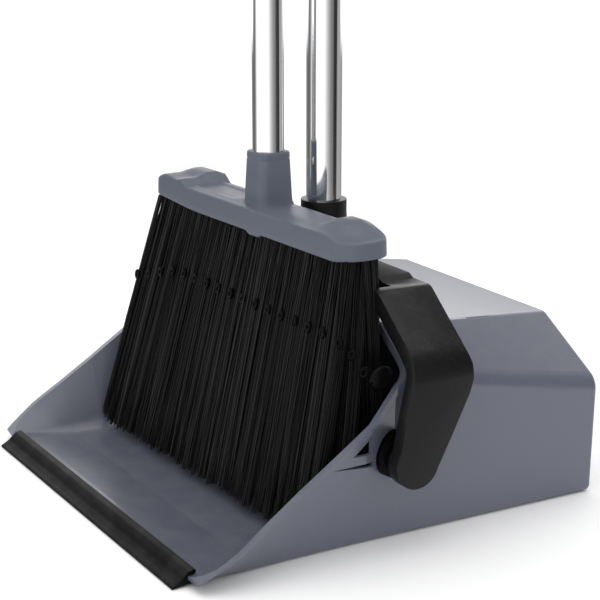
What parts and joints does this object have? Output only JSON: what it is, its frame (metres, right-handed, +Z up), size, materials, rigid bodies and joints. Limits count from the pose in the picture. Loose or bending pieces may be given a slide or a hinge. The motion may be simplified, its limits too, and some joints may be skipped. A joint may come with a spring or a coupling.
{
  "type": "upright dustpan and broom set",
  "caption": "Upright hooded dustpan on a hinged yoke and tube handle, with a rubber lip and a long-handled broom clipped upright inside it.",
  "frame": {"origin": "on the floor under the middle of the pan", "axes": "+Z up along the handles, +Y from the pan's lip to its back, +X to the side the yoke's right arm is on"},
  "size_m": [0.361, 0.3334, 1.026],
  "materials": {
    "grey_plastic": "moulded, semi-gloss",
    "block_plastic": "moulded, satin",
    "black_plastic": "moulded, satin",
    "black_rubber": "soft rubber, slight sheen",
    "grip_rubber": "matt rubber",
    "tube_steel": "polished tube",
    "steel": "plated",
    "washer_nylon": "black nylon",
    "bristle": "flagged plastic bristle"
  },
  "bodies": {
    "pan": {"pan_shell": "grey_plastic", "rubber_lip": "black_rubber"},
    "handle": {"yoke": "black_plastic", "pivot_pin_left": "steel", "pivot_pin_right": "steel", "pivot_washer_left": "washer_nylon", "pivot_washer_right": "washer_nylon", "pivot_retainer_left": "steel", "pivot_retainer_right": "steel", "socket_screw": "steel", "pan_tube_lower": "tube_steel", "pan_tube_joint": "black_plastic", "pan_tube_upper": "tube_steel", "pan_handle_grip": "grip_rubber", "pan_handle_cap": "black_plastic", "broom_clip": "black_plastic", "clip_screw": "steel"},
    "broom": {"broom_block": "block_plastic", "tuft_anchors": "steel", "tuft_roots": "bristle", "bristles_front": "bristle", "bristles_middle": "bristle", "bristles_rear": "bristle", "bristle_loops": "bristle", "loop_pad": "black_plastic", "broom_tube_plug": "black_plastic", "block_screw": "steel", "broom_tube_lower": "tube_steel", "broom_tube_joint": "black_plastic", "broom_tube_upper": "tube_steel", "broom_handle_grip": "grip_rubber", "broom_handle_cap": "black_plastic"}
  },
  "joints": [
    {"name": "yoke_swing", "type": "hinge", "parent": "pan", "child": "handle", "pos_m": [0, -0.0048, 0.062], "axis": [1, 0, 0], "range_deg": [0, 80], "deforming": ["bristles_front", "bristles_middle", "bristles_rear", "bristle_loops", "loop_pad"]},
    {"name": "broom_lift", "type": "slide", "parent": "handle", "child": "broom", "axis": [0, 0, 1], "range_m": [0, 0.25]}
  ]
}
